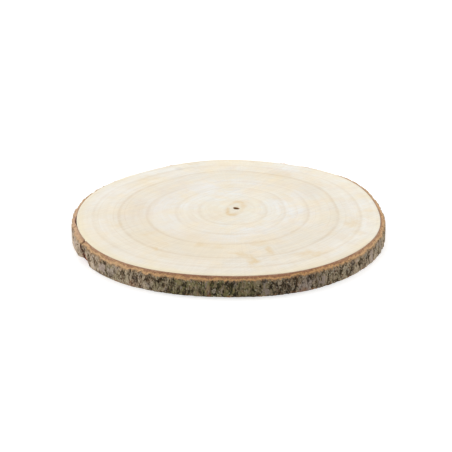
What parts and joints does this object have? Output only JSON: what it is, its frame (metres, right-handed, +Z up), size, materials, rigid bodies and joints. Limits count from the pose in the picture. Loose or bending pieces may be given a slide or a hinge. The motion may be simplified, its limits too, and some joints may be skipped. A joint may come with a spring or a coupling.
{
  "type": "wood log slice",
  "caption": "Round slice sawn across a log: flat pale wood with growth rings and a small hollow pith, inside a ring of rough bark.",
  "frame": {"origin": "middle of the slice's box, on the surface that it rests on", "axes": "+Z up, across the slice's thickness; +X to the right and +Y away from the viewer of the picture"},
  "size_m": [0.3266, 0.3257, 0.0206],
  "materials": {
    "sawn_wood": "bare sawn and lightly sanded, matt",
    "weathered_bark": "rough weathered bark, matt"
  },
  "bodies": {
    "root": {"wood": "sawn_wood", "bark": "weathered_bark"}
  },
  "joints": []
}
